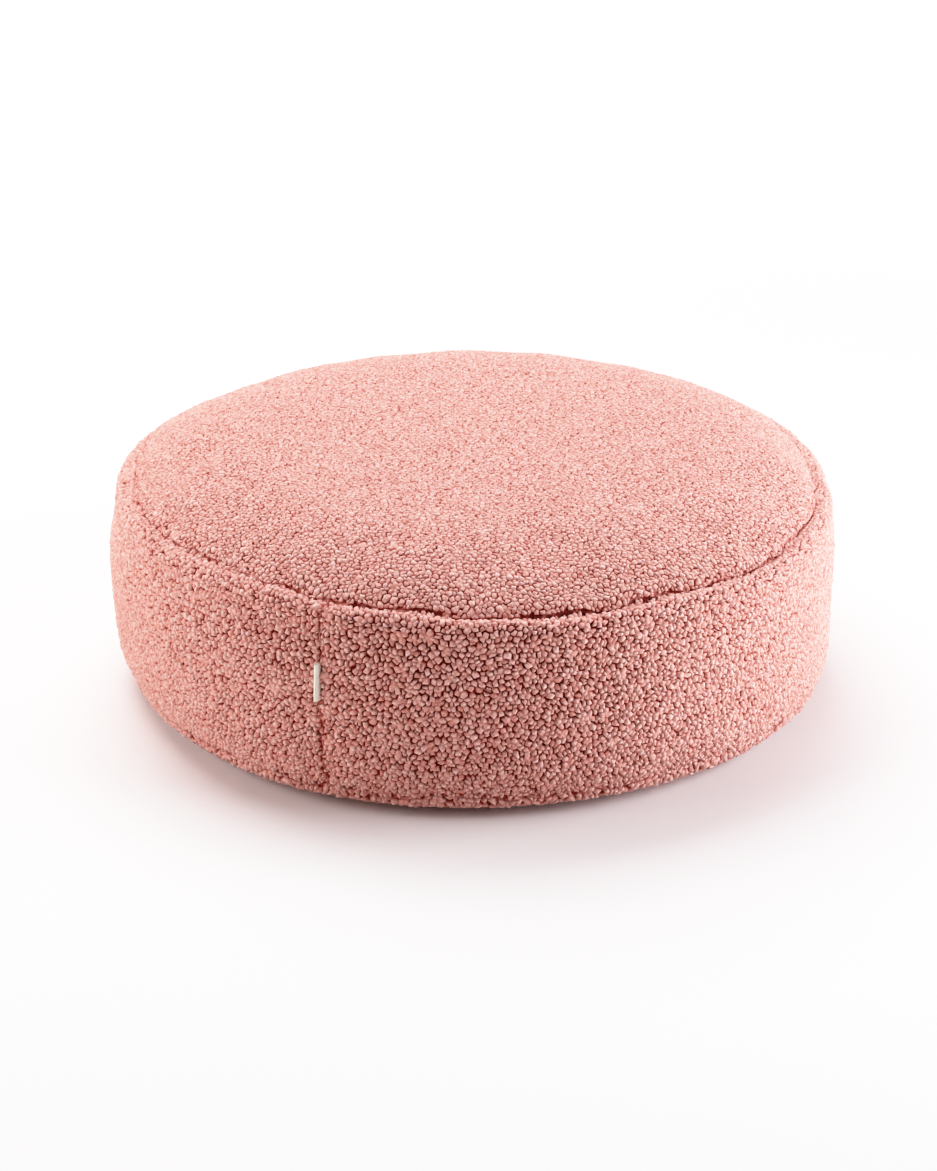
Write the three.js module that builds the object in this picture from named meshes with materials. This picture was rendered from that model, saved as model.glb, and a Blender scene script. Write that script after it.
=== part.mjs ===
// A round floor pouf in curly teddy fleece, as a maker sews it: a crowned top panel, a side band
// closed by one upright seam, and a base panel, stuffed firm, with a folded ribbon tag in the seam.
// Millimetres, +Z up. The origin is on the floor under the pouf's middle, and the front is -Y.
// Azimuths are in degrees from the front, and turn towards +X.

import * as THREE from "three";

// Driving sizes of the stuffed pouf
const WIDEST_RADIUS = 375;
const CROWN_HEIGHT = 247;
const TOP_SEAM = new THREE.Vector2(357, 206); // radius and height of the seam's bottom
const BASE_SEAM = new THREE.Vector2(360, 26);
const FLOOR_RADIUS = 318; // the flat that rests on the floor
const FLEECE_THICKNESS = 12; // backing and pile together
const SEAM_GAP = 0.3; // left between pieces that are sewn together

// The crown is a superellipse: level in the middle, rolling down into the seam
const CROWN_FLATNESS = 8;
const SHOULDER_ROUNDNESS = 1.5;

// The upright seam that closes the band pulls a cleft into the pile
const UPRIGHT_SEAM = { azimuth: -22, depth: 6, halfWidth: 6, startsAt: 5, fullAt: 16 };

// The ribbon tag is folded double: its free ends are in the upright seam, its fold leans to the left
const TAG = { width: 38, middleHeight: 143, ribbon: 0.8, layersApart: 0.6, rootGap: 0.8 };
const TAG_BEND = { straight: 7, out: 12, aside: -4.5 };

// Sides round the pouf, and how strongly they crowd towards the upright seam, from 0 to 1
const SIDES = 120;
const SIDE_CROWDING = 0.86;
const PANEL_RINGS = 10;
const INNER_RINGS = 6;
const BAND_RINGS = 18;
const FOLD_SHARES = [0, 0.125, 0.25, 0.375, 0.5, 0.625, 0.75, 0.875, 1];

// Outside of the band from the top seam to the base seam: the lip that the top seam rolls up,
// the nearly upright side, and the tuck towards the floor
const BAND_PROFILE = [
  { inset: 11, height: 213 },
  { inset: 4.5, height: 208.5 },
  { inset: 1, height: 195 },
  { inset: 0, height: 165 },
  { inset: 0, height: 125 },
  { inset: 2, height: 86 },
  { inset: 6, height: 53 },
];

// Outside of the base panel, from its seam down to the floor
const BASE_PROFILE = [
  { radius: 359, height: 18 },
  { radius: 352, height: 10 },
  { radius: 337, height: 3 },
];

// How unevenly the hand-filled pouf has settled round its edge: how far the top seam is drawn in
// and rides up, how far the side bellies out, and how far the foot is drawn in
const SETTLED = [
  { azimuth: -180, seamIn: 1, seamUp: 3, bellyOut: 0, footIn: 1 },
  { azimuth: -140, seamIn: 0, seamUp: 1, bellyOut: -2, footIn: -3 },
  { azimuth: -110, seamIn: 5, seamUp: 4, bellyOut: 0, footIn: 2 },
  { azimuth: -82, seamIn: 12, seamUp: 6, bellyOut: -1, footIn: -5 },
  { azimuth: -66, seamIn: 11, seamUp: 9, bellyOut: -1, footIn: 0 },
  { azimuth: -48, seamIn: 12, seamUp: 10, bellyOut: 2, footIn: 2 },
  { azimuth: -30, seamIn: 10, seamUp: 9, bellyOut: 1, footIn: -2 },
  { azimuth: -20, seamIn: 6, seamUp: 4, bellyOut: 0, footIn: 0 },
  { azimuth: -12, seamIn: 7, seamUp: 5, bellyOut: 1, footIn: 0 },
  { azimuth: 2, seamIn: 2, seamUp: 2, bellyOut: 0, footIn: 2 },
  { azimuth: 15, seamIn: -1, seamUp: 0, bellyOut: -1, footIn: 2 },
  { azimuth: 30, seamIn: 2, seamUp: 2, bellyOut: 0, footIn: -1 },
  { azimuth: 50, seamIn: -2, seamUp: -2, bellyOut: -1, footIn: -8 },
  { azimuth: 70, seamIn: 2, seamUp: -1, bellyOut: 0, footIn: -16 },
  { azimuth: 90, seamIn: 7, seamUp: 1, bellyOut: 0, footIn: -15 },
  { azimuth: 120, seamIn: 2, seamUp: 2, bellyOut: 1, footIn: -4 },
  { azimuth: 150, seamIn: -1, seamUp: 1, bellyOut: -1, footIn: 0 },
];

const DRAWN_IN_FROM = 146; // height where the top seam starts to draw the band in
const FOOT_REACH = 100; // height up to which the foot is drawn in

const FLEECE_PINK = { color: 0xdc9c95, roughness: 0.95, metalness: 0 };
const RIBBON_CREAM = { color: 0xe4dcc6, roughness: 0.85, metalness: 0 };

// The row of SETTLED at any azimuth, eased from one row to the next
function settledAt(azimuth) {
  let next = SETTLED.findIndex((row) => row.azimuth > azimuth);
  if (next === -1) {
    next = 0;
  }
  const before = SETTLED[(next + SETTLED.length - 1) % SETTLED.length];
  const after = SETTLED[next];
  const span = THREE.MathUtils.euclideanModulo(after.azimuth - before.azimuth, 360);
  const done = THREE.MathUtils.euclideanModulo(azimuth - before.azimuth, 360);
  const share = THREE.MathUtils.smoothstep(done, 0, span);
  const blend = (column) => THREE.MathUtils.lerp(before[column], after[column], share);
  return {
    seamIn: blend("seamIn"),
    seamUp: blend("seamUp"),
    bellyOut: blend("bellyOut"),
    footIn: blend("footIn"),
  };
}

// Moves a point of the plain turned form, given as radius and height, to where the filling settled
function settle(point, azimuth) {
  const row = settledAt(azimuth);
  const top = THREE.MathUtils.smoothstep(point.y, DRAWN_IN_FROM, TOP_SEAM.y);
  const foot = 1 - THREE.MathUtils.smoothstep(point.y, 0, FOOT_REACH);
  const side = 1 - top - foot;
  const rim = (point.x / WIDEST_RADIUS) ** 2;
  const out = row.bellyOut * side - row.seamIn * top - row.footIn * foot;
  return new THREE.Vector2(point.x + out * rim, point.y + row.seamUp * top * rim ** 2);
}

// Depth of the upright seam's cleft at a point of the band's outside: none in the seams it ends in
function cleftDepth(point, azimuth) {
  const turn = THREE.MathUtils.degToRad(azimuth - UPRIGHT_SEAM.azimuth);
  const across = (turn * point.x) / UPRIGHT_SEAM.halfWidth;
  const fromSeams = Math.min(point.distanceTo(TOP_SEAM), point.distanceTo(BASE_SEAM));
  const share = THREE.MathUtils.smoothstep(fromSeams, UPRIGHT_SEAM.startsAt, UPRIGHT_SEAM.fullAt);
  return UPRIGHT_SEAM.depth * share * Math.exp(-across * across);
}

// Azimuth of a side, crowded towards the upright seam so that the cleft keeps its shape
function sideAzimuth(turnShare) {
  const even = THREE.MathUtils.euclideanModulo(turnShare + 0.5, 1) * 2 - 1;
  const crowded = even * Math.abs(even);
  const offset = 180 * THREE.MathUtils.lerp(even, crowded, SIDE_CROWDING);
  return THREE.MathUtils.euclideanModulo(UPRIGHT_SEAM.azimuth + offset + 180, 360) - 180;
}

// Turns a profile of radius and height into a solid, then lets every point settle
function turnedPanel(name, profile, outsideDepth) {
  const geometry = new THREE.LatheGeometry(profile, SIDES);
  const position = geometry.getAttribute("position");
  for (let i = 0; i < position.count; i++) {
    const point = profile[i % profile.length];
    const side = Math.floor(i / profile.length) % SIDES;
    const azimuth = sideAzimuth(side / SIDES);
    const settled = settle(point, azimuth);
    const radius = settled.x - outsideDepth(point, azimuth);
    const angle = THREE.MathUtils.degToRad(azimuth);
    position.setXYZ(i, radius * Math.sin(angle), -radius * Math.cos(angle), settled.y);
  }
  const mesh = new THREE.Mesh(geometry, new THREE.MeshStandardMaterial(FLEECE_PINK));
  mesh.name = name;
  return mesh;
}

// Height of the crown over a radius
function crownHeight(radius) {
  const share = Math.min(radius / TOP_SEAM.x, 1);
  const fall = (1 - share ** CROWN_FLATNESS) ** (1 / SHOULDER_ROUNDNESS);
  return TOP_SEAM.y + (CROWN_HEIGHT - TOP_SEAM.y) * fall;
}

// Points of the crown from the middle out, closer together where it rolls over the shoulder
function crownPoints(rings, lastShare, drop) {
  const points = [];
  for (let i = 0; i <= rings; i++) {
    const radius = TOP_SEAM.x * Math.sin(((lastShare * i) / rings) * (Math.PI / 2));
    points.push(new THREE.Vector2(radius, crownHeight(radius) - drop));
  }
  return points;
}

const INNER_CROWN_SHARE = 0.9; // the inner face stops short of the seam, so that the edge slants to it
const noCleft = () => 0;

// The top panel: the crown outside, and the fleece's thickness below it
function topPanel() {
  const outside = crownPoints(PANEL_RINGS, 1, 0);
  const inside = crownPoints(INNER_RINGS, INNER_CROWN_SHARE, FLEECE_THICKNESS);
  return turnedPanel("top_panel", [...inside, ...outside.reverse()], noCleft);
}

// Points of the base panel's inner face from the middle out, raised by a little
function baseInside(rise) {
  const level = FLEECE_THICKNESS + rise;
  return [new THREE.Vector2(0, level), new THREE.Vector2(FLOOR_RADIUS, level)];
}

// The side band, filled through: its stuffing carries the top panel and stands on the base panel
function sideBand() {
  const gap = new THREE.Vector2(0, SEAM_GAP);
  const shape = BAND_PROFILE.map((row) => new THREE.Vector2(WIDEST_RADIUS - row.inset, row.height));
  const top = TOP_SEAM.clone().sub(gap);
  const bottom = BASE_SEAM.clone().add(gap);
  const outside = new THREE.SplineCurve([bottom, ...shape.reverse(), top]).getPoints(BAND_RINGS);
  const under = baseInside(SEAM_GAP);
  const over = crownPoints(INNER_RINGS, INNER_CROWN_SHARE, FLEECE_THICKNESS + SEAM_GAP);
  const cleft = (point, azimuth) => (outside.includes(point) ? cleftDepth(point, azimuth) : 0);
  return turnedPanel("side_band", [...under, ...outside, ...over.reverse()], cleft);
}

// The base panel: flat on the floor, rounding up to its seam
function basePanel() {
  const rounding = BASE_PROFILE.map((row) => new THREE.Vector2(row.radius, row.height)).reverse();
  const floor = [new THREE.Vector2(0, 0), new THREE.Vector2(FLOOR_RADIUS, 0)];
  const inside = baseInside(0).reverse();
  return turnedPanel("base_panel", [...floor, ...rounding, BASE_SEAM, ...inside], noCleft);
}

// The tag's ribbon in plan, from one free end round the fold to the other, x pointing out of the seam
function tagOutline() {
  const bend = new THREE.QuadraticBezierCurve(
    new THREE.Vector2(0, 0),
    new THREE.Vector2(TAG_BEND.straight, 0),
    new THREE.Vector2(TAG_BEND.out, TAG_BEND.aside),
  );
  const inner = TAG.layersApart / 2;
  const outer = inner + TAG.ribbon;
  const beside = (share, distance, turn) => {
    const along = bend.getTangent(share);
    const across = new THREE.Vector2(-along.y, along.x).rotateAround(new THREE.Vector2(), turn);
    return bend.getPoint(share).addScaledVector(across, distance);
  };
  const side = (distance) => FOLD_SHARES.map((share) => beside(share, distance, 0));
  const fold = (distance) => FOLD_SHARES.slice(1, -1).map((share) => beside(1, distance, -Math.PI * share));
  const outside = [...side(outer), ...fold(outer), ...side(-outer).reverse()];
  const inside = [...side(inner), ...fold(inner), ...side(-inner).reverse()];
  return new THREE.Shape([...outside, ...inside.reverse()]);
}

// The ribbon tag, its free ends held in the upright seam's cleft
function seamTag() {
  const options = { depth: TAG.width, bevelEnabled: false };
  const geometry = new THREE.ExtrudeGeometry(tagOutline(), options);
  const mesh = new THREE.Mesh(geometry, new THREE.MeshStandardMaterial(RIBBON_CREAM));
  mesh.name = "seam_tag";
  const side = settle(new THREE.Vector2(WIDEST_RADIUS, TAG.middleHeight), UPRIGHT_SEAM.azimuth);
  const root = side.x - UPRIGHT_SEAM.depth + TAG.rootGap;
  mesh.position.set(root, 0, TAG.middleHeight - TAG.width / 2);
  const turn = new THREE.Group();
  turn.rotation.z = THREE.MathUtils.degToRad(UPRIGHT_SEAM.azimuth - 90);
  turn.add(mesh);
  return turn;
}

const pouf = new THREE.Group();
pouf.add(topPanel(), sideBand(), basePanel(), seamTag());

export default pouf;
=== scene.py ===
# %% [markdown]
# # A teddy pouf
# The object is a low round floor pouf. A maker cuts three panels of curly teddy fleece, a round top,
# a long side band and a round base, sews them edge to edge, turns the cover the right way out, fills
# it firm, and catches a folded ribbon tag in the band's upright seam.
# This lesson follows the maker. It takes the filled shape from the CAD solids, lets a cloth simulation
# plump the cover between its seams, covers each flat panel with curls, wraps it on the plump shape,
# and adds the tag last.

# %% Load the frame
import math

import bmesh
import bpy
import numpy as np
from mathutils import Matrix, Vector
from mathutils.bvhtree import BVHTree
from mathutils.geometry import delaunay_2d_cdt
from mathutils.kdtree import KDTree


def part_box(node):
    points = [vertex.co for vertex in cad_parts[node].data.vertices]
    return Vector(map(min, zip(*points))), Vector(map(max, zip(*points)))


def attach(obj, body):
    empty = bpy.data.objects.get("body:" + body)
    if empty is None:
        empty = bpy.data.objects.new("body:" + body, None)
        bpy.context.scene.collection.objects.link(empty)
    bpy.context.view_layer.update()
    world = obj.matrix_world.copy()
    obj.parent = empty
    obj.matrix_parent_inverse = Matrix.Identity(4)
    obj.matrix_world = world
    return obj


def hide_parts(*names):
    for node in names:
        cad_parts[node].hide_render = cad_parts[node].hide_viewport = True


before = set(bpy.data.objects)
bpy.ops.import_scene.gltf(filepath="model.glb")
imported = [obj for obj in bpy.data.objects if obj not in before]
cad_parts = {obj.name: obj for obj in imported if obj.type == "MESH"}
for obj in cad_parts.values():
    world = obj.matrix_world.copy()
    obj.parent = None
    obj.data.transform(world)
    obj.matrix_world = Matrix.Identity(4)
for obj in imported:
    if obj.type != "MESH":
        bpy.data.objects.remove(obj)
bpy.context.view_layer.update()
MM = 0.001

# %% [markdown]
# ## Colours and shader nodes
# Colours are written as the eye sees them on a screen, as sRGB hex values, but light adds up in linear
# values, so one function turns the first into the second. A second function adds a shader node with
# its settings, its input values and its links in one call, which keeps each material readable.

# %% Helpers for colours and nodes
def linear(hex_colour):
    """Turns an sRGB hex colour into the linear colour that shaders and lights use."""
    channels = [int(hex_colour[start:start + 2], 16) / 255 for start in (1, 3, 5)]
    return [c / 12.92 if c <= 0.04045 else ((c + 0.055) / 1.055) ** 2.4 for c in channels] + [1.0]


def add_node(tree, kind, inputs=None, **settings):
    """Adds a node, sets its properties, then fills its inputs with values or links them to outputs."""
    node = tree.nodes.new(kind)
    for name, value in settings.items():
        setattr(node, name, value)
    for name, value in (inputs or {}).items():
        if isinstance(value, bpy.types.NodeSocket):
            tree.links.new(value, node.inputs[name])
        else:
            node.inputs[name].default_value = value
    return node


def new_material(name):
    """A material without nodes, and the tree that takes them."""
    material = bpy.data.materials.new(name)
    material.use_nodes = True
    material.node_tree.nodes.clear()
    return material, material.node_tree


# %% [markdown]
# ## Camera
# The photograph looks down on the pouf by about 24 degrees from 2.7 m away. The far rim is a little
# smaller than the near one, so the distance matters as much as the angle. The lens is given for the
# height of the frame, and the aim is a touch below the middle, so that no lens shift is needed.

# %% Camera
PHOTO_HEIGHT_PX = 1171
FOCAL_PX = 2492
SENSOR_MM = 36
CAMERA_PLACE = Vector((0.0, -2.400, 1.165))
CAMERA_AIM = Vector((-0.0032, -0.0052, 0.0859))

camera_data = bpy.data.cameras.new("camera")
camera_data.sensor_fit = "VERTICAL"
camera_data.sensor_height = SENSOR_MM
camera_data.lens = FOCAL_PX * SENSOR_MM / PHOTO_HEIGHT_PX
camera = bpy.data.objects.new("camera", camera_data)
camera.location = CAMERA_PLACE
camera.rotation_euler = (CAMERA_AIM - CAMERA_PLACE).to_track_quat("-Z", "Y").to_euler()
bpy.context.collection.objects.link(camera)
bpy.context.scene.camera = camera
print("lens in mm:", round(camera_data.lens, 1))

# %% [markdown]
# ## Floor and studio light
# A pale matt floor carries the pouf. Round about, where nothing stands on it, it is lit from below like
# a photographer's light table, so the surroundings are white from every side. A wide softbox overhead
# and behind makes the top the palest part. Two softboxes at the sides, the right one nearer and cooler,
# leave the front of the band in soft shade, with only a dim warm light from the room. A curve over the
# whole picture rolls bright light off towards white and deepens the shade, as film does.

# %% Floor and light
FILM_WHITE = 1.6  # the light that comes out white
FILM_CURVE = [(0.03, 0.012), (0.08, 0.05), (0.60, 0.57), (0.80, 0.745), (1.0, 0.872), (1.25, 0.95)]
view = bpy.context.scene.view_settings
view.view_transform = "Standard"
view.use_curve_mapping = True
view.curve_mapping.white_level = (FILM_WHITE, FILM_WHITE, FILM_WHITE)
for light, tone in FILM_CURVE:
    view.curve_mapping.curves[3].points.new(light / FILM_WHITE, tone)
view.curve_mapping.update()

FLOOR_HALF = 60.0
LIT_FROM, LIT_FULLY = 1.1, 3.2  # from the middle of the pouf
floor_corners = [(-FLOOR_HALF, -FLOOR_HALF, 0), (FLOOR_HALF, -FLOOR_HALF, 0),
                 (FLOOR_HALF, FLOOR_HALF, 0), (-FLOOR_HALF, FLOOR_HALF, 0)]
floor_mesh = bpy.data.meshes.new("floor")
floor_mesh.from_pydata(floor_corners, [], [(0, 1, 2, 3)])
floor = bpy.data.objects.new("floor", floor_mesh)
bpy.context.collection.objects.link(floor)

floor_paint, tree = new_material("matt white studio floor")
place = add_node(tree, "ShaderNodeTexCoord")
away = add_node(tree, "ShaderNodeVectorMath", {0: place.outputs["Object"]}, operation="LENGTH")
glow = add_node(
    tree, "ShaderNodeMapRange",
    {"Value": away.outputs["Value"], "From Min": LIT_FROM, "From Max": LIT_FULLY, "To Max": FILM_WHITE},
    interpolation_type="SMOOTHSTEP")
shader = add_node(
    tree, "ShaderNodeBsdfPrincipled",
    {"Base Color": linear("#f0e9e5"), "Roughness": 0.9, "Emission Color": linear("#ffffff"),
     "Emission Strength": glow.outputs["Result"]})
add_node(tree, "ShaderNodeOutputMaterial", {"Surface": shader.outputs["BSDF"]})
floor_mesh.materials.append(floor_paint)

SOFTBOXES = [
    {"name": "overhead", "place": (-0.6, 1.25, 2.5), "size": 2.4, "watts": 139, "colour": "#f8faff"},
    {"name": "left", "place": (-2.5, -0.5, 1.0), "size": 2.0, "watts": 72, "colour": "#fcfcff"},
    {"name": "right", "place": (2.2, -0.4, 0.8), "size": 1.8, "watts": 110, "colour": "#eff6ff"},
]
POUF_MIDDLE = Vector((0.0, 0.0, 0.12))
ROOM_COLOUR, ROOM_STRENGTH = "#ffc6b8", 0.03

for row in SOFTBOXES:
    lamp_data = bpy.data.lights.new(row["name"] + " softbox", "AREA")
    lamp_data.size = row["size"]
    lamp_data.energy = row["watts"]
    lamp_data.color = linear(row["colour"])[:3]
    lamp = bpy.data.objects.new(lamp_data.name, lamp_data)
    lamp.location = row["place"]
    lamp.rotation_euler = (POUF_MIDDLE - lamp.location).to_track_quat("-Z", "Y").to_euler()
    bpy.context.collection.objects.link(lamp)

world = bpy.data.worlds.new("studio")
world.use_nodes = True
world.node_tree.nodes["Background"].inputs["Color"].default_value = linear(ROOM_COLOUR)
world.node_tree.nodes["Background"].inputs["Strength"].default_value = ROOM_STRENGTH
bpy.context.scene.world = world
print("softboxes:", [row["name"] for row in SOFTBOXES])

# %% [markdown]
# ## The filled shape
# The CAD solids hold the measured shape: where each seam runs, how far the crown rises, where the band
# bellies out and where the foot tucks in. They are felt with rays: straight down on the top panel,
# outwards from inside the band, and inwards on the base panel. For every azimuth this gives one profile
# from the middle of the top over both seams to the middle of the base, divided evenly within each panel
# as a tape measure would. The solids leave an open groove at the seams. On the real pouf the pile of both
# panels closes over it, so the profile is raised towards the straight line over the groove, most at the
# left, where the seam hardly shows, and least at the front. Beside the upright seam the rays keep clear
# of the cleft for the same reason. The raised profile is divided evenly once more, and neighbouring
# profiles are averaged, so that the cloth runs smoothly round the pouf.

# %% Feel the CAD solids with rays
UPRIGHT_SEAM_AZIMUTH = -22.0  # degrees from the front, towards +X
COLUMNS = 192
CROWDING = 0.45  # columns stand closer together at the upright seam
BESIDE_CLEFT = 2.4  # degrees
TOP_SEAM, BASE_SEAM, LAST_ROW = 43, 80, 109  # rows of each profile, counted from the middle of the top
FINE_STEPS = 300
EVENINGS = 2  # rounds of evening out from column to column
ABOVE, OUTSIDE = 0.4, 0.6
BAND_CORE = (0.300, 0.115)  # radius and height of a ring inside the filling
BASE_CORE = (0.300, 0.026)
WIDEST = 0.380
UNDER_RIM = 0.2 * MM
SPARE_RAYS = 4  # of the fan round the base, next to its seam, which has a ray of its own
SEEN_AT = [-180, -110, -60, -35, -18, 0, 25, 45, 90, 120, 180]  # azimuths in degrees
CLOSED_BY = [0.70, 0.90, 0.82, 0.74, 0.57, 0.45, 0.45, 0.52, 0.60, 0.70, 0.70]  # share of the groove, there

turn_shares = np.linspace(0, 1, COLUMNS + 1)
turns = 360 * (turn_shares - CROWDING * np.sin(2 * math.pi * turn_shares) / (2 * math.pi))
solids = {}
for name in ("top_panel", "side_band", "base_panel"):
    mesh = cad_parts[name].data
    solids[name] = BVHTree.FromPolygons([v.co for v in mesh.vertices], [p.vertices for p in mesh.polygons])
base_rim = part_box("base_panel")[1][2] - UNDER_RIM


def in_section(turn, radius, height):
    """The point at a radius and height in the upright plane that lies a turn from the upright seam."""
    azimuth = math.radians(UPRIGHT_SEAM_AZIMUTH + turn)
    return Vector((radius * math.sin(azimuth), -radius * math.cos(azimuth), height))


def felt(name, turn, start, way):
    """Radius and height where rays in an upright plane first meet a solid; rays that miss are left out."""
    found = []
    for (radius, height), (out, up) in zip(start, way):
        hit = solids[name].ray_cast(in_section(turn, radius, height), in_section(turn, out, up))[0]
        if hit:
            found.append((math.hypot(hit.x, hit.y), hit.z))
    return found


def directions(first, last):
    """Outward and upward parts of evenly fanned rays between two angles."""
    angles = np.linspace(first, last, FINE_STEPS)
    return np.stack([np.cos(angles), np.sin(angles)], axis=1)


def evenly(profile, count):
    """Divides a profile into count points, evenly along its length, and measures that length."""
    profile = np.array(profile)
    walked = np.concatenate([[0], np.cumsum(np.linalg.norm(np.diff(profile, axis=0), axis=1))])
    wanted = np.linspace(0, walked[-1], count)
    return np.stack([np.interp(wanted, walked, profile[:, i]) for i in (0, 1)], axis=1), walked[-1]


def closed_over(profile, share):
    """Raises the hollows of a profile by a share of their depth under the straight line over them."""
    ridge = []
    for i, (radius, height) in enumerate(profile):
        while len(ridge) > 1:
            (r1, h1), (r2, h2) = profile[ridge[-2]], profile[ridge[-1]]
            if (r2 - r1) * (height - h2) < (h2 - h1) * (radius - r2):
                break
            ridge.pop()
        ridge.append(i)
    after = np.clip(np.searchsorted(ridge, np.arange(len(profile))), 1, len(ridge) - 1)
    start, end = profile[np.take(ridge, after - 1)], profile[np.take(ridge, after)]
    way = end - start
    part = ((profile - start) * way).sum(axis=1) / (way * way).sum(axis=1)
    return profile + share * (start + part[:, None] * way - profile)


def evened(ring):
    """Averages every column of a ring with its neighbours; its last column is its first one again."""
    ring = ring[:-1] / 2 + (np.roll(ring[:-1], 1, axis=0) + np.roll(ring[:-1], -1, axis=0)) / 4
    return np.concatenate([ring, ring[:1]])


profiles, lengths = [], []
for turn in turns:
    beside = min(max(turn, BESIDE_CLEFT), 360 - BESIDE_CLEFT)
    above = [(radius, ABOVE) for radius in np.linspace(0, WIDEST, FINE_STEPS)]
    top_profile = felt("top_panel", beside, above, [(0, -1)] * FINE_STEPS)
    top_end = top_profile[-1]
    base_end = felt("base_panel", beside, [(OUTSIDE, base_rim)], [(-1, 0)])[0]
    first, last = (math.atan2(end[1] - BAND_CORE[1], end[0] - BAND_CORE[0]) for end in (top_end, base_end))
    fan = directions(first, last)[1:-1]
    band_profile = [top_end] + felt("side_band", beside, [BAND_CORE] * len(fan), fan) + [base_end]
    fan = directions(0, -math.pi / 2)[SPARE_RAYS:]
    base_profile = felt("base_panel", beside, np.array(BASE_CORE) + OUTSIDE * fan, -fan)
    base_profile = [base_end] + base_profile + [(0.0, 0.0)]
    steps = (TOP_SEAM, BASE_SEAM - TOP_SEAM, LAST_ROW - BASE_SEAM)
    top, band, base = (
        evenly(part, count + 1)[0] for part, count in zip((top_profile, band_profile, base_profile), steps))
    azimuth = (UPRIGHT_SEAM_AZIMUTH + turn + 180) % 360 - 180
    share = np.interp(azimuth, SEEN_AT, CLOSED_BY)
    closed = closed_over(np.concatenate([top, band[1:], base[1:]]), share)
    panels = np.split(closed, [TOP_SEAM + 1, BASE_SEAM + 1])
    panels[1:] = [np.concatenate([before[-1:], panel]) for before, panel in zip(panels, panels[1:])]
    divided = [evenly(panel, len(panel)) for panel in panels]
    profiles.append(np.concatenate([divided[0][0]] + [points[1:] for points, _ in divided[1:]]))
    lengths.append([length for _, length in divided])

profiles = np.array(profiles)
profiles[0] = profiles[-1] = (profiles[0] + profiles[-1]) / 2
for _ in range(EVENINGS):
    profiles = evened(profiles)
cover = np.array([[in_section(turn, *point) for point in profile] for turn, profile in zip(turns, profiles)])
top_length, band_length, base_length = (float(length) for length in np.mean(lengths, axis=0))
print("cloth from middle to seam, seam to seam, seam to middle in mm:",
      [round(length / MM) for length in (top_length, band_length, base_length)])

# %% [markdown]
# ## Plumping the cover
# Filling presses a sewn cover outwards everywhere except at its seams, where the doubled cloth holds.
# A cloth simulation does the same: the cover starts a little slack, with soft rolls beside the top seam
# that are fuller at the left, the seams are pinned and drawn in, and air pressure swells the panels until
# the cloth is taut. The cloth is made a trifle larger than the seams it is sewn to, so it puckers beside
# them. The movement is capped, so the pouf keeps its size.

# %% Simulate the cover
PILE_OVER = 1.5 * MM  # the tips of the curls stand over the measured shape
FLOOR_CLEAR = 20 * MM  # they don't within this height, where the weight presses them flat
TOP_SINK, BASE_SINK, UPRIGHT_SINK = 2.0 * MM, 0.6 * MM, 0.6 * MM
ROLLS = {-1: -0.4, 1: -0.8, 2: 0.8, 3: 2.2, 4: 2.6, 5: 1.4}  # in mm, by rows from the top seam
FULLER = [1.0, 1.5, 1.7, 1.6, 1.2, 1.0, 1.0, 1.0, 1.0, 1.0, 1.0]  # rolls, at SEEN_AT
SLACK = 1.2 * MM
EASE = -0.006  # the cloth is slightly larger than its pattern
PRESSURE = 1.5
STIFFNESS = 100
CLOTH_QUALITY, POINT_MASS, BENDING = 6, 0.3, 2
FRAMES = 20
MOST_MOVED = 5.0 * MM
ON_FLOOR = BASE_SEAM + 8  # from this row inwards the base lies on the floor


def panel_normals(grid):
    """Outward direction at each point of a grid of columns and rows that closes on itself."""
    across = np.gradient(grid, axis=0)
    across[0] = across[-1] = grid[1] - grid[-2]
    along = np.gradient(grid, axis=1)
    normal = np.cross(along, across)
    normal[:, 0] = normal[:, 1]
    normal[:, -1] = normal[:, -2]
    return normal / np.linalg.norm(normal, axis=2, keepdims=True)


def towards_core(points):
    """Direction from points of a seam to the ring inside the filling."""
    radius = np.linalg.norm(points[:, :2], axis=1, keepdims=True)
    level = np.full((len(points), 1), BAND_CORE[1])
    core = np.concatenate([points[:, :2] / radius * BAND_CORE[0], level], axis=1)
    way = core - points
    return way / np.linalg.norm(way, axis=1, keepdims=True)


cover += panel_normals(cover) * PILE_OVER * np.clip(cover[:, :, 2:] / FLOOR_CLEAR, 0, 1)
column_azimuths = np.mod(UPRIGHT_SEAM_AZIMUTH + turns + 180, 360) - 180
fuller = np.interp(column_azimuths, SEEN_AT, FULLER)[:, None]
for row, rise in ROLLS.items():
    cover[:, TOP_SEAM + row] += fuller * rise * MM * panel_normals(cover)[:, TOP_SEAM + row]
for row, sink in ((TOP_SEAM, TOP_SINK), (BASE_SEAM, BASE_SINK)):
    cover[:, row] += sink * towards_core(cover[:, row])
band_rows = np.arange(TOP_SEAM + 1, BASE_SEAM)
for column in (0, COLUMNS):
    cover[column, band_rows] += UPRIGHT_SINK * towards_core(cover[column, band_rows])

sewn = np.zeros(cover.shape[:2], bool)
sewn[:, [TOP_SEAM, BASE_SEAM]] = True
sewn[[0, COLUMNS], TOP_SEAM:BASE_SEAM] = True
sewn[:, ON_FLOOR:] = True
slack_cover = cover - np.where(sewn, 0, SLACK)[:, :, None] * panel_normals(cover)
print("sewn points:", int(sewn.sum()), "of", sewn.size)


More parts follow.
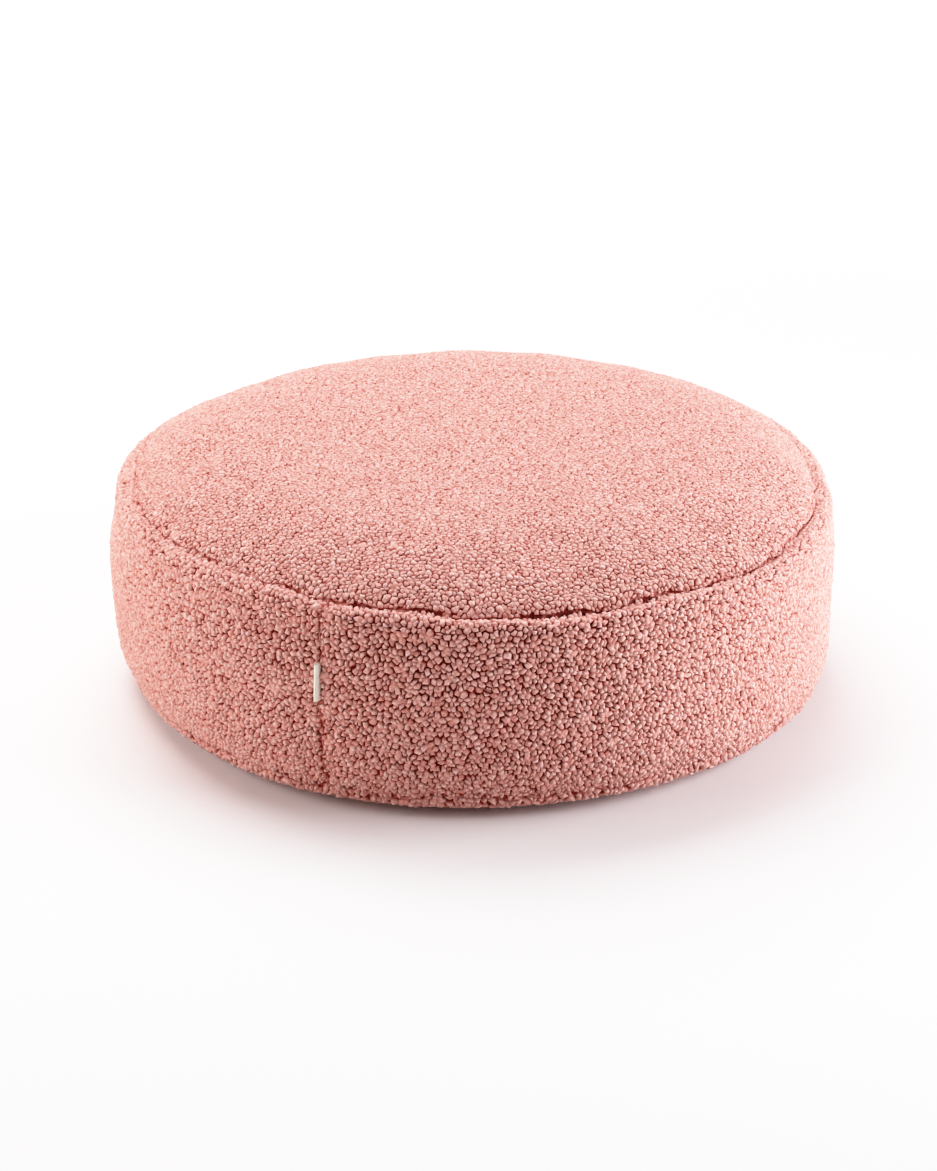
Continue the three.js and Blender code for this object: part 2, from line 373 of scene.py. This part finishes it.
def simulated(start):
    """Positions of the cover after the cloth simulation, on the same columns and rows."""
    inner_rows = start.shape[1] - 2
    points = np.concatenate([start[:1, 0], start[:COLUMNS, 1:-1].reshape(-1, 3), start[:1, -1]])
    index = 1 + np.arange(COLUMNS * inner_rows).reshape(COLUMNS, inner_rows)
    beside = np.roll(index, -1, axis=0)
    quads = np.stack([index[:, :-1], index[:, 1:], beside[:, 1:], beside[:, :-1]], axis=2).reshape(-1, 4)
    top_fan = np.stack([np.zeros(COLUMNS, int), index[:, 0], beside[:, 0]], axis=1)
    base_fan = np.stack([np.full(COLUMNS, len(points) - 1), beside[:, -1], index[:, -1]], axis=1)
    mesh = bpy.data.meshes.new("slack cover")
    mesh.from_pydata(points.tolist(), [], quads.tolist() + top_fan.tolist() + base_fan.tolist())
    body = bpy.data.objects.new("slack cover", mesh)
    bpy.context.collection.objects.link(body)
    held = np.concatenate([[False], sewn[:COLUMNS, 1:-1].ravel(), [True]])
    body.vertex_groups.new(name="sewn").add(np.nonzero(held)[0].tolist(), 1.0, "REPLACE")
    cloth = body.modifiers.new("filling", "CLOTH")
    cloth.settings.quality = CLOTH_QUALITY
    cloth.settings.mass = POINT_MASS
    cloth.settings.tension_stiffness = cloth.settings.compression_stiffness = STIFFNESS
    cloth.settings.bending_stiffness = BENDING
    cloth.settings.vertex_group_mass = "sewn"
    cloth.settings.shrink_min = EASE
    cloth.settings.use_pressure = True
    cloth.settings.uniform_pressure_force = PRESSURE
    cloth.settings.effector_weights.gravity = 0
    cloth.point_cache.frame_start, cloth.point_cache.frame_end = 1, FRAMES
    for frame_number in range(1, FRAMES + 1):
        bpy.context.scene.frame_set(frame_number)
    final = body.evaluated_get(bpy.context.evaluated_depsgraph_get()).data
    moved = np.empty(len(points) * 3)
    final.vertices.foreach_get("co", moved)
    moved = moved.reshape(-1, 3)
    bpy.data.objects.remove(body)
    bpy.context.scene.frame_set(1)
    result = start.copy()
    result[:, 0], result[:, -1] = moved[0], moved[-1]
    result[:COLUMNS, 1:-1] = moved[1:-1].reshape(COLUMNS, inner_rows, 3)
    result[COLUMNS] = result[0]
    return result


shift = evened(simulated(slack_cover) - cover)
reach = np.linalg.norm(shift, axis=2, keepdims=True)
cover = cover + shift * MOST_MOVED / (MOST_MOVED + reach)
print("cover moved in mm, most and mean:", [round(float(v) / MM, 2) for v in (reach.max(), reach.mean())])
cover_normals = panel_normals(cover)

# %% [markdown]
# ## Curls
# Teddy fleece is a knitted cloth whose long pile has been tumbled until it rolls up into curls, here
# about 6 mm across. They cling together in small huddles, with shallow gaps inside a huddle and deep
# dark ones between huddles. Hair strands would be far too many, and a bump map alone would leave the
# outline smooth, so the curls are modelled. Curl middles are strewn over a flat pattern, and a Delaunay
# triangulation finds their neighbours: the gap between three curls lies in the middle of their triangle.
# Each curl rises steeply from its gaps to an uneven shoulder and a blunt top. Last, the seams are let
# stray a little from their true line, as a seam does that is buried in pile.

# %% Cover a flat pattern with curls
STRAYING = 0.42  # how far curls stray from an even grid, as a share of the pitch
EDGE_ROOM, EDGE_LEAST = 0.40, 0.28  # room between a seam and the first curl middles, in pitches
RING_STRAY, RING_ROOM = (-0.3, 1.0), 0.7  # of the ring of curls along a round edge
SEAM_DEPTH = 4.5 * MM  # of the backing under the tips, at the seams
EDGE_POINTS = 560  # along each round seam, shared by the panels that meet there
SHOULDERS = 4  # uneven corners at the top of each curl
TALLNESS, SHOULDER_DROP = (0.75, 1.0), (0.0, 0.30)  # as shares of the pile height
# Pile heights set the depth of the pile and also its colour: where the pile is low, at the seams and in the
# gaps beside them, the fleece's colours paint shade, so a lower seam shows a darker line.
TOP_EDGE = [0.65, 0.72, 0.75, 0.80, 0.60, 0.47, 0.47, 0.60, 0.75, 0.75, 0.65]  # tallest pile, at SEEN_AT
BASE_EDGE = 0.60
UPRIGHT_EDGE = (0.60, 0.90)  # tallest pile at the upright seam, below the tag and above it
SPARSE = 0.3  # the pile at the seams is at least this share of the tallest
HUDDLE = 2.4  # curls huddle together in groups this many pitches across
JOINED_GAPS = (0.30, 0.62)  # pile height between the curls of a huddle
SEAM_GAPS = (0.10, 0.42)  # and beside the seams
rng = np.random.default_rng(20)


def strewn(pitch, width, height, slim=1.0):
    """Curl middles over a rectangle: rows that fit between its edges, disturbed but kept inside."""
    first, nearest = EDGE_ROOM * pitch, EDGE_LEAST * pitch
    row_step = pitch * math.sqrt(3) / 2 / slim
    rows = np.linspace(first, height - first, round((height - 2 * first) / row_step) + 1)
    even = np.linspace(first, width - first, round((width - 2 * first) / (pitch * slim)) + 1)
    odd = (even[1:] + even[:-1]) / 2
    grid = np.array([(x, y) for j, y in enumerate(rows) for x in (odd if j % 2 else even)])
    grid += rng.uniform(-STRAYING, STRAYING, grid.shape) * pitch
    return np.clip(grid, nearest, np.array([width, height]) - nearest)


def strewn_round(pitch, radius):
    """Curl middles over a round pattern: a ring along its edge, and rows inside the ring."""
    outer = radius - EDGE_ROOM * pitch
    count = round(2 * math.pi * outer / pitch)
    angle = 2 * math.pi * (np.arange(count) + rng.uniform(-STRAYING, STRAYING, count)) / count
    reach = outer + rng.uniform(*RING_STRAY, count) * (EDGE_ROOM - EDGE_LEAST) * pitch
    ring = reach[:, None] * np.stack([np.sin(angle), np.cos(angle)], axis=1)
    inner = strewn(pitch, 2 * radius, 2 * radius) - radius
    return np.concatenate([ring, inner[np.hypot(*inner.T) < outer - RING_ROOM * pitch]])


def huddles(points, pitch):
    """Number of the huddle that each point belongs to: the nearest of some strewn middles."""
    low, high = points.min(axis=0), points.max(axis=0)
    middles = low + strewn(HUDDLE * pitch, *(high - low))
    tree = KDTree(len(middles))
    for i, (x, y) in enumerate(middles):
        tree.insert((x, y, 0), i)
    tree.balance()
    return np.array([tree.find((x, y, 0))[1] for x, y in points])


def opposite_sides(triangles):
    """For each side of each triangle the number of the same side in the neighbour, or -1 at the edge."""
    starts, ends = triangles.ravel(), np.roll(triangles, -1, axis=1).ravel()
    most = triangles.max() + 1
    key, wanted = starts * most + ends, ends * most + starts
    order = np.argsort(key)
    place = np.minimum(np.searchsorted(key[order], wanted), len(key) - 1)
    return np.where(key[order][place] == wanted, order[place], -1)


def curled(edge, edge_height, curls, kind):
    """A curly pattern: flat points, pile heights from 0 at the backing to 1 at the tips, depths, faces."""
    flat = np.concatenate([edge, curls])
    is_curl = np.arange(len(flat)) >= len(edge)
    triangles = np.array(delaunay_2d_cdt([Vector(point) for point in flat], [], [], 0, 1e-9)[2])
    gaps = flat[triangles].mean(axis=1)
    gap_index = len(flat) + np.arange(len(gaps))

    corner_is_curl = is_curl[triangles]
    triangle, corner = np.nonzero(corner_is_curl)
    owner = triangles[triangle, corner]
    way = gaps[triangle] - flat[owner]
    heading = np.arctan2(way[:, 1], way[:, 0]) + rng.uniform(0, 2 * math.pi, len(flat))[owner]
    quarter = np.mod(heading // (2 * math.pi / SHOULDERS), SHOULDERS).astype(int)
    shoulder, member = np.unique(owner * SHOULDERS + quarter, return_inverse=True)
    reach = np.stack([np.bincount(member, way[:, i]) for i in (0, 1)], axis=1) / np.bincount(member)[:, None]
    shoulder_owner = shoulder // SHOULDERS
    fullness = rng.uniform(*kind["full"], len(shoulder))[:, None]
    shoulders = flat[shoulder_owner] + reach * fullness + kind["nap"]
    shoulder_index = np.full(triangles.shape, -1)
    shoulder_index[corner_is_curl] = len(flat) + len(gaps) + member

    tallness = rng.uniform(*TALLNESS, len(flat))
    huddle = huddles(flat, kind["pitch"])[triangles]
    joined = (huddle == huddle[:, :1]).all(axis=1)
    shallow_gaps = rng.uniform(*JOINED_GAPS, len(gaps))
    deep_gaps = rng.uniform(*kind["gaps"], len(gaps))
    gap_height = np.where(joined, shallow_gaps, deep_gaps)
    at_seam = ~corner_is_curl.all(axis=1)
    gap_height[at_seam] = rng.uniform(*SEAM_GAPS, at_seam.sum())
    shoulder_height = tallness[shoulder_owner] - rng.uniform(*SHOULDER_DROP, len(shoulder))
    height = np.concatenate([edge_height, tallness[len(edge):], gap_height, shoulder_height])

    starts, ends = triangles.ravel(), np.roll(triangles, -1, axis=1).ravel()
    opposite = opposite_sides(triangles)
    gap_left = np.repeat(gap_index, 3)
    gap_right = gap_left[opposite]
    left = shoulder_index.ravel()
    right = np.roll(shoulder_index, -1, axis=1).ravel()[opposite]
    rim = opposite < 0
    of_curl = is_curl[starts] & ~rim
    same = left == right
    groups = [
        np.stack([starts, ends, gap_left], axis=1)[rim],
        np.stack([starts, gap_right, gap_left], axis=1)[~rim & ~is_curl[starts]],
        np.stack([left, gap_right, gap_left], axis=1)[of_curl & same],
        np.stack([right, gap_right, gap_left, left], axis=1)[of_curl & ~same],
    ]
    faces = [face for group in groups for face in group.tolist()]
    first = np.searchsorted(shoulder_owner, np.arange(len(edge), len(flat)))
    last = np.searchsorted(shoulder_owner, np.arange(len(edge), len(flat)), side="right")
    offset = len(flat) + len(gaps)
    faces += [list(range(offset + a, offset + b)) for a, b in zip(first, last) if b - a > 2]
    sunk = (1 - height) * np.where(np.arange(len(height)) < len(edge), SEAM_DEPTH, kind["depth"])
    return np.concatenate([flat, gaps, shoulders]), height, sunk, faces


def blended(values, column, row):
    """Values of a grid between its columns and rows."""
    c = np.clip(column.astype(int), 0, values.shape[0] - 2)
    r = np.clip(row.astype(int), 0, values.shape[1] - 2)
    u, v = (column - c)[:, None], (row - r)[:, None]
    near = values[c, r] * (1 - v) + values[c, r + 1] * v
    far = values[c + 1, r] * (1 - v) + values[c + 1, r + 1] * v
    return near * (1 - u) + far * u


STRAY_KNOTS = 130  # round the pouf, between which the seams stray from their true line
SEAM_STRAY, STRAY_REACH = 0.60, 2.4  # in rows
UPRIGHT_STRAY, UPRIGHT_REACH = 0.38, 1.3  # in degrees
knot_turns = np.linspace(0, 360, STRAY_KNOTS + 1)
strays = rng.uniform(-SEAM_STRAY, SEAM_STRAY, (2, STRAY_KNOTS + 1))
strays[:, -1] = strays[:, 0]
knot_rows = np.arange(TOP_SEAM, BASE_SEAM + 1)
upright_strays = rng.uniform(-UPRIGHT_STRAY, UPRIGHT_STRAY, len(knot_rows))
upright_strays[[0, -1]] = 0


def wrapped(turn, row, sunk):
    """Places pattern points on the cover, given their turn from the upright seam, row and depth."""
    for seam, stray in zip((TOP_SEAM, BASE_SEAM), strays):
        row = row + np.interp(turn, knot_turns, stray) * np.exp(-((row - seam) / STRAY_REACH) ** 2)
    near = np.exp(-(np.minimum(turn, 360 - turn) / UPRIGHT_REACH) ** 2)
    turn = np.mod(turn + near * np.interp(row, knot_rows, upright_strays), 360)
    column = np.interp(turn, turns, np.arange(COLUMNS + 1))
    normal = blended(cover_normals, column, row)
    normal /= np.linalg.norm(normal, axis=1, keepdims=True)
    return blended(cover, column, row) - normal * sunk[:, None]


# %% [markdown]
# ## Teddy fleece
# Polyester teddy fleece, curled by tumbling: matt, with a soft pale bloom where the fibre ends catch
# the light sideways. Every point carries its pile height, and the colour follows it: the deep red-brown
# low in the gaps, where light is lost between the curls, is painted shade, and the tips are painted a
# little paler where the light falls on them. Lumps of a few millimetres break up each curl, and the
# creases between the lumps are darkened with painted shade.
# Single fibres are far too fine to show, so they are drawn as coarse as they need to be seen.

# %% Fleece material
LUMP_SIZE, LUMP_HEIGHT = 2.6 * MM, 0.55 * MM
FIBRE_SIZE, FIBRE_HEIGHT = 1.4 * MM, 0.4 * MM  # real fibres are about 0.02 mm
# The pink of the fleece by pile height, with painted shade: deep red-brown low in the gaps and at the
# backing, and a little paler, painted light, towards the tips.
PILE_COLOURS_AND_PAINTED_SHADE = [(0.02, "#4a120c"), (0.27, "#933c32"), (0.49, "#db9c90"), (0.71, "#e1aea3"), (0.95, "#e7beb5")]
fleece, tree = new_material("teddy fleece, tumbled polyester pile")
depth = add_node(tree, "ShaderNodeAttribute", attribute_name="pile_height")
pile_colour_and_shade = add_node(tree, "ShaderNodeValToRGB", {"Fac": depth.outputs["Fac"]})
for position, colour in PILE_COLOURS_AND_PAINTED_SHADE:
    stop = pile_colour_and_shade.color_ramp.elements.new(position)
    stop.color = linear(colour)
for spare in (pile_colour_and_shade.color_ramp.elements[-1], pile_colour_and_shade.color_ramp.elements[0]):
    pile_colour_and_shade.color_ramp.elements.remove(spare)
place = add_node(tree, "ShaderNodeTexCoord")
lumps = add_node(tree, "ShaderNodeTexVoronoi", {
    "Vector": place.outputs["Object"], "Scale": 1 / LUMP_SIZE})
fibres = add_node(tree, "ShaderNodeTexNoise", {
    "Vector": place.outputs["Object"], "Scale": 1 / FIBRE_SIZE, "Detail": 2.0})
lump_bump = add_node(tree, "ShaderNodeBump", {
    "Height": lumps.outputs["Distance"], "Strength": 1.0, "Distance": LUMP_HEIGHT}, invert=True)
bump = add_node(tree, "ShaderNodeBump", {
    "Height": fibres.outputs["Fac"], "Normal": lump_bump.outputs["Normal"],
    "Strength": 0.7, "Distance": FIBRE_HEIGHT})
# Painted shade: the creases between the lumps, where the bump dips, are darkened towards a red-brown.
painted_crease_shade = add_node(tree, "ShaderNodeMapRange", {
    "Value": lumps.outputs["Distance"], "From Min": 0.35, "From Max": 0.85, "To Min": 0.0, "To Max": 0.45})
mixed = add_node(tree, "ShaderNodeMix", {
    "Factor": painted_crease_shade.outputs["Result"], "A": pile_colour_and_shade.outputs["Color"], "B": linear("#c4776a")},
    data_type="RGBA", blend_type="MULTIPLY")
shader = add_node(tree, "ShaderNodeBsdfPrincipled", {
    "Base Color": mixed.outputs["Result"], "Normal": bump.outputs["Normal"], "Roughness": 0.85,
    "Specular IOR Level": 0.1, "Sheen Weight": 0.2, "Sheen Roughness": 0.5, "Sheen Tint": linear("#ffd8ce")})
add_node(tree, "ShaderNodeOutputMaterial", {"Surface": shader.outputs["BSDF"]})


def make_piece(name, node, points, faces, height, lids):
    """A closed smooth fleece mesh in the place of a CAD node; lids close its rims inside the filling."""
    for rim, middle in lids:
        tip = len(points)
        points = np.concatenate([points, [(0, 0, middle)]])
        height = np.append(height, 0.0)
        faces = faces + [[tip, a, b] for a, b in zip(rim, np.roll(rim, -1))]
    mesh = bpy.data.meshes.new(name)
    mesh.from_pydata(points.tolist(), [], faces)
    pile = mesh.attributes.new("pile_height", "FLOAT", "POINT")
    pile.data.foreach_set("value", height.astype(np.float32))
    sewing = bmesh.new()
    sewing.from_mesh(mesh)
    loose = [vertex for vertex in sewing.verts if not vertex.link_faces]
    bmesh.ops.delete(sewing, geom=loose, context="VERTS")
    bmesh.ops.remove_doubles(sewing, verts=sewing.verts, dist=0.01 * MM)
    bmesh.ops.recalc_face_normals(sewing, faces=sewing.faces)
    open_edges = sum(len(edge.link_faces) != 2 for edge in sewing.edges)
    sewing.to_mesh(mesh)
    sewing.free()
    mesh.materials.append(fleece)
    mesh.shade_smooth()
    piece = bpy.data.objects.new(name, mesh)
    bpy.context.collection.objects.link(piece)
    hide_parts(node)
    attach(piece, "root")
    mesh.calc_loop_triangles()
    print(name, "has", len(mesh.loop_triangles), "triangles and", open_edges, "open edges")


# %% [markdown]
# ## Top panel
# The top is a round piece of fleece. Its flat pattern is a disc whose radius is the cloth's length from
# the middle to the seam. Each point of the disc keeps its azimuth and its share of that length when it is
# wrapped on the cover. A shallow lid inside the filling closes the panel.

# %% Top panel
def round_edge(radius):
    """Points round the edge of a round pattern, starting at the upright seam."""
    azimuth = np.radians(UPRIGHT_SEAM_AZIMUTH + 360 * np.arange(EDGE_POINTS) / EDGE_POINTS)
    return radius * np.stack([np.sin(azimuth), -np.cos(azimuth)], axis=1)


def round_pattern(radius, edge_heights, kind):
    """Curls over a round pattern, with each point's turn from the upright seam and distance out."""
    middles = strewn_round(kind["pitch"], radius)
    flat, height, sunk, faces = curled(round_edge(radius), edge_heights, middles, kind)
    turn = np.mod(np.degrees(np.arctan2(flat[:, 0], -flat[:, 1])) - UPRIGHT_SEAM_AZIMUTH, 360)
    return turn, np.hypot(*flat.T), height, sunk, faces


TOP_CURLS = {"pitch": 5.4 * MM, "full": (0.74, 0.98), "nap": (0, -0.6 * MM), "gaps": (0.04, 0.22),
             "depth": 3.2 * MM}
TOP_LID = 0.196
round_rim = np.arange(EDGE_POINTS)
rim_azimuths = np.mod(UPRIGHT_SEAM_AZIMUTH + 360 * round_rim / EDGE_POINTS + 180, 360) - 180
top_edge_heights = np.interp(rim_azimuths, SEEN_AT, TOP_EDGE) * rng.uniform(SPARSE, 1, EDGE_POINTS)
turn, out, height, sunk, faces = round_pattern(top_length, top_edge_heights, TOP_CURLS)
points = wrapped(turn, out / top_length * TOP_SEAM, sunk)
make_piece("top_panel_fleece", "top_panel", points, faces, height, [(round_rim, TOP_LID)])

# %% [markdown]
# ## Base panel
# The base is cut like the top. Nearly all of it lies on the floor, and only its rounded rim shows as a
# narrow strip under the base seam, so its curls may be a little larger.

# %% Base panel
BASE_CURLS = {"pitch": 7.0 * MM, "full": (0.66, 0.96), "nap": (0, 0), "gaps": (0.0, 0.12), "depth": 5.5 * MM}
BASE_LID = 0.012
base_edge_heights = BASE_EDGE * rng.uniform(SPARSE, 1, EDGE_POINTS)
turn, out, height, sunk, faces = round_pattern(base_length, base_edge_heights, BASE_CURLS)
points = wrapped(turn, BASE_SEAM + (1 - out / base_length) * (LAST_ROW - BASE_SEAM), sunk)
make_piece("base_panel_fleece", "base_panel", points, faces, height, [(round_rim, BASE_LID)])

# %% [markdown]
# ## Side band
# The band is one long strip, closed by the upright seam. Its pattern is a rectangle as long as the pouf's
# girth and as wide as the cloth between the two round seams. Its edges take the same points as the round
# panels do, so the pieces meet without a gap, and its two ends are sewn together. At the tag's height the
# upright seam lies deeper, to make room for the ribbon.

# %% Side band
BAND_CURLS = {"pitch": 5.8 * MM, "full": (0.66, 0.96), "nap": (0, 0), "gaps": (0.0, 0.12), "depth": 5.4 * MM}
BAND_SLIM = 0.94  # its curls are narrower than they are tall
BAND_RADIUS = 0.372
BAND_GIRTH = 2 * math.pi * BAND_RADIUS
BAND_LIDS = (0.188, 0.034)
SIDE_STEP = 4.0 * MM
tag_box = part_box("seam_tag")
along = np.linspace(0, BAND_GIRTH, EDGE_POINTS + 1)
down = np.linspace(0, band_length, round(band_length / SIDE_STEP) + 1)[1:-1]
band_edge = np.concatenate([[(x, y) for x in along] for y in (0, band_length)] +
                           [[(x, y) for y in down] for x in (0, BAND_GIRTH)])
down_rows = TOP_SEAM + down / band_length * (BASE_SEAM - TOP_SEAM)
down_heights = np.interp(down_rows, np.arange(cover.shape[1]), cover[0, :, 2])
at_tag = (down_heights > tag_box[0][2]) & (down_heights < tag_box[1][2] - SIDE_STEP)
tallest = np.where(down_heights < tag_box[0][2], *UPRIGHT_EDGE)
upright_heights = tallest * rng.uniform(SPARSE, 1, len(down))
# Here the seam lies at the backing and takes the darkest colour of the fleece: painted shade round the
# ribbon's root, as well as real depth.
upright_heights[at_tag] = 0.0
edge_heights = np.concatenate([
    top_edge_heights, top_edge_heights[:1], base_edge_heights, base_edge_heights[:1],
    upright_heights, upright_heights])
middles = strewn(BAND_CURLS["pitch"], BAND_GIRTH, band_length, BAND_SLIM)
flat, height, sunk, faces = curled(band_edge, edge_heights, middles, BAND_CURLS)
row = TOP_SEAM + flat[:, 1] / band_length * (BASE_SEAM - TOP_SEAM)
points = wrapped(flat[:, 0] / BAND_GIRTH * 360, row, sunk)
lids = [(round_rim, BAND_LIDS[0]), (round_rim + len(along), BAND_LIDS[1])]
make_piece("side_band_fleece", "side_band", points, faces, height, lids)

# %% [markdown]
# ## Ribbon tag
# The tag is a short piece of woven cotton ribbon, folded double, with both ends caught in the upright
# seam. It stands out from the pile and leans to the left. It is built as one sheet: a path that leaves the
# seam, turns round the fold and comes back beside itself, carried up over the ribbon's width, then given
# the ribbon's thickness. A few tenths of a millimetre of twist keep it from looking stamped.

# %% Ribbon tag
RIBBON_THICK = 0.8 * MM
LAYERS_APART = 1.4 * MM  # between the middles of the two layers, in the seam
FOLD_WIDER = 0.6 * MM  # by which the fold opens them
TAG_REACH = {"straight": 6.2 * MM, "out": 8.2 * MM, "aside": -2.0 * MM}
TAG_TWIST = 0.7 * MM
SIDE_POINTS, FOLD_POINTS, WIDTH_STEPS = 14, 9, 24

azimuth = math.radians(UPRIGHT_SEAM_AZIMUTH)
tag_out = np.array([math.sin(azimuth), -math.cos(azimuth), 0.0])
tag_aside = np.array([-tag_out[1], tag_out[0], 0.0])
tag_points = np.array([vertex.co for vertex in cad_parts["seam_tag"].data.vertices])
tag_root = (tag_points @ tag_out).min()
tag_low, tag_high = tag_points[:, 2].min(), tag_points[:, 2].max()

part = np.linspace(0, 1, SIDE_POINTS)[:, None]
straight, tip = np.array([TAG_REACH["straight"], 0]), np.array([TAG_REACH["out"], TAG_REACH["aside"]])
middle_line = 2 * part * (1 - part) * straight + part ** 2 * tip
heading = 2 * (1 - 2 * part) * straight + 2 * part * tip
heading /= np.linalg.norm(heading, axis=1, keepdims=True)
across = np.stack([-heading[:, 1], heading[:, 0]], axis=1)
half = (LAYERS_APART + FOLD_WIDER * part ** 2) / 2
swing = np.linspace(0, math.pi, FOLD_POINTS)[1:-1, None]
fold = middle_line[-1] + half[-1] * (np.cos(swing) * across[-1] + np.sin(swing) * heading[-1])
path = np.concatenate([middle_line + half * across, fold, (middle_line - half * across)[::-1]])
along_path = np.gradient(path, axis=0)
along_path /= np.linalg.norm(along_path, axis=1, keepdims=True)
path_normal = np.stack([-along_path[:, 1], along_path[:, 0]], axis=1)

skins = []
width_share = np.linspace(-1, 1, WIDTH_STEPS + 1)
for side in (0.5, -0.5):
    skin = path + side * RIBBON_THICK * path_normal
    twist = TAG_TWIST * width_share[:, None] * (skin[:, 0] / TAG_REACH["out"]) ** 2
    plan = (tag_root + skin[:, 0])[:, None] * tag_out + skin[:, 1][:, None] * tag_aside
    sheet = plan[None] + twist[:, :, None] * tag_aside
    sheet[:, :, 2] += np.linspace(tag_low, tag_high, WIDTH_STEPS + 1)[:, None]
    skins.append(sheet)
tag_grid = np.arange(2 * skins[0][:, :, 0].size).reshape(2, *skins[0].shape[:2])
tag_faces = []
for skin in tag_grid:
    corners = [skin[:-1, :-1], skin[:-1, 1:], skin[1:, 1:], skin[1:, :-1]]
    tag_faces += np.stack(corners, axis=2).reshape(-1, 4).tolist()
for edge in (np.s_[:, 0, :], np.s_[:, -1, :], np.s_[:, :, 0], np.s_[:, :, -1]):
    outer, inner = tag_grid[edge]
    tag_faces += np.stack([outer[:-1], outer[1:], inner[1:], inner[:-1]], axis=1).tolist()

# %% [markdown]
# ## Woven cotton
# Cotton ribbon is a plain weave: warp threads run along it and weft threads across, each passing over
# and under the other. The eye sees a matt cream with a fine check, painted here as shade that darkens
# the cream where the threads dip under each other. The threads are 0.5 mm apart, and each point of the
# ribbon carries its place along and across it, so that the weave follows the fold.

# %% Ribbon material and piece
THREAD_STEP, THREAD_HEIGHT = 0.5 * MM, 0.12 * MM
SLUBS_PER_METRE = 900.0  # thick places in the yarn, about 1 mm apart
ribbon, tree = new_material("cotton ribbon, plain woven")
place = add_node(tree, "ShaderNodeAttribute", attribute_name="ribbon_place")
axes = add_node(tree, "ShaderNodeSeparateXYZ", {"Vector": place.outputs["Vector"]})
threads = []
for axis in ("X", "Y"):
    angle = add_node(
        tree, "ShaderNodeMath", {0: axes.outputs[axis], 1: math.pi / THREAD_STEP}, operation="MULTIPLY")
    threads.append(add_node(tree, "ShaderNodeMath", {0: angle.outputs["Value"]}, operation="SINE"))
weave = add_node(tree, "ShaderNodeMath", {i: thread.outputs["Value"] for i, thread in enumerate(threads)},
                 operation="MULTIPLY")
slub = add_node(tree, "ShaderNodeTexNoise", {"Vector": place.outputs["Vector"], "Scale": SLUBS_PER_METRE})
# Painted shade: the cream is darker where the weave's bump is low, between the crossings of the threads.
shade = add_node(tree, "ShaderNodeMapRange", {"Value": weave.outputs["Value"], "From Min": -1.0})
tone = add_node(tree, "ShaderNodeMix", {
    "Factor": shade.outputs["Result"], "A": linear("#e4dac8"), "B": linear("#fbf6ea")}, data_type="RGBA")
worn = add_node(tree, "ShaderNodeMix", {
    "Factor": slub.outputs["Fac"], "A": tone.outputs["Result"], "B": linear("#efe7d8")}, data_type="RGBA")
bump = add_node(tree, "ShaderNodeBump", {
    "Height": weave.outputs["Value"], "Strength": 0.6, "Distance": THREAD_HEIGHT})
shader = add_node(tree, "ShaderNodeBsdfPrincipled", {
    "Base Color": worn.outputs["Result"], "Normal": bump.outputs["Normal"], "Roughness": 0.8,
    "Specular IOR Level": 0.3, "Sheen Weight": 0.15})
add_node(tree, "ShaderNodeOutputMaterial", {"Surface": shader.outputs["BSDF"]})

tag_mesh = bpy.data.meshes.new("seam_tag_ribbon")
tag_mesh.from_pydata(np.concatenate([skin.reshape(-1, 3) for skin in skins]).tolist(), [], tag_faces)
walked = np.concatenate([[0], np.cumsum(np.linalg.norm(np.diff(path, axis=0), axis=1))])
ribbon_place = np.zeros((WIDTH_STEPS + 1, len(path), 3), np.float32)
ribbon_place[:, :, 0] = walked
ribbon_place[:, :, 1] = np.linspace(0, tag_high - tag_low, WIDTH_STEPS + 1)[:, None]
places = tag_mesh.attributes.new("ribbon_place", "FLOAT_VECTOR", "POINT")
places.data.foreach_set("vector", np.concatenate([ribbon_place.ravel(), ribbon_place.ravel()]))
sewing = bmesh.new()
sewing.from_mesh(tag_mesh)
bmesh.ops.recalc_face_normals(sewing, faces=sewing.faces)
sewing.to_mesh(tag_mesh)
sewing.free()
tag_mesh.materials.append(ribbon)
tag_mesh.shade_smooth()
seam_tag = bpy.data.objects.new("seam_tag_ribbon", tag_mesh)
bpy.context.collection.objects.link(seam_tag)
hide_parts("seam_tag")
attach(seam_tag, "root")
